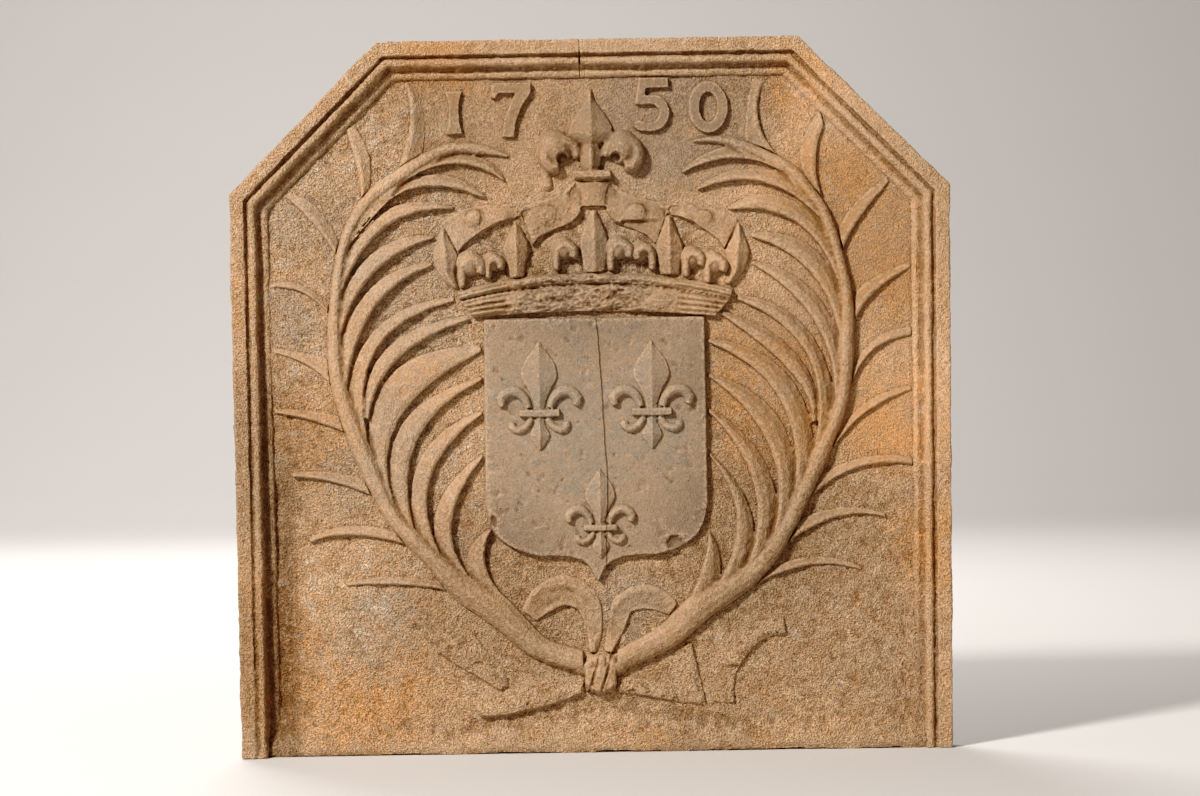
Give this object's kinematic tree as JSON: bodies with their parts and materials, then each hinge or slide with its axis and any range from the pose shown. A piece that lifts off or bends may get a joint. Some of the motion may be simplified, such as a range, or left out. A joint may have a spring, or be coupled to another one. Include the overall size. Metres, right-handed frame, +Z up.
{
  "type": "fireback",
  "caption": "Cast-iron hearth plate with a moulded border, carved with a crowned shield of lilies between two tied palm branches",
  "frame": {"origin": "middle of the foot line, half way through the thickness, on the floor", "axes": "+X to the right seen from the carved face, +Y to the plain back, +Z up; the carved face looks to -Y"},
  "size_m": [0.718, 0.044, 0.712],
  "materials": {
    "cast_iron": "old unpainted cast iron: dry tan and orange rust with dark brown in the hollows and greyer worn patches, pitted and matt"
  },
  "bodies": {
    "root": {"back_plate": "cast_iron", "bottom_lip": "cast_iron", "left_border": "cast_iron", "upper_left_border": "cast_iron", "top_border": "cast_iron", "upper_right_border": "cast_iron", "right_border": "cast_iron", "numeral_1": "cast_iron", "numeral_2": "cast_iron", "numeral_3": "cast_iron", "numeral_4": "cast_iron", "shield": "cast_iron", "left_lily": "cast_iron", "right_lily": "cast_iron", "lower_lily": "cast_iron", "crown_band": "cast_iron", "crown_roll": "cast_iron", "crown_jewels": "cast_iron", "crown_petals": "cast_iron", "crown_curls": "cast_iron", "left_arch": "cast_iron", "right_arch": "cast_iron", "crown_cap": "cast_iron", "finial_lily": "cast_iron", "left_stem": "cast_iron", "right_stem": "cast_iron", "left_leaf_1": "cast_iron", "left_leaf_2": "cast_iron", "left_leaf_3": "cast_iron", "left_leaf_4": "cast_iron", "left_leaf_5": "cast_iron", "left_leaf_6": "cast_iron", "left_leaf_7": "cast_iron", "left_leaf_8": "cast_iron", "left_leaf_9": "cast_iron", "left_leaf_10": "cast_iron", "left_leaf_11": "cast_iron", "left_leaf_12": "cast_iron", "right_leaf_1": "cast_iron", "right_leaf_2": "cast_iron", "right_leaf_3": "cast_iron", "right_leaf_4": "cast_iron", "right_leaf_5": "cast_iron", "right_leaf_6": "cast_iron", "right_leaf_7": "cast_iron", "right_leaf_8": "cast_iron", "right_leaf_9": "cast_iron", "right_leaf_10": "cast_iron", "right_leaf_11": "cast_iron", "right_leaf_12": "cast_iron", "left_outer_leaves": "cast_iron", "right_outer_leaves": "cast_iron", "knot": "cast_iron", "left_loop": "cast_iron", "right_loop": "cast_iron", "left_tail": "cast_iron", "right_tail": "cast_iron"}
  },
  "joints": []
}
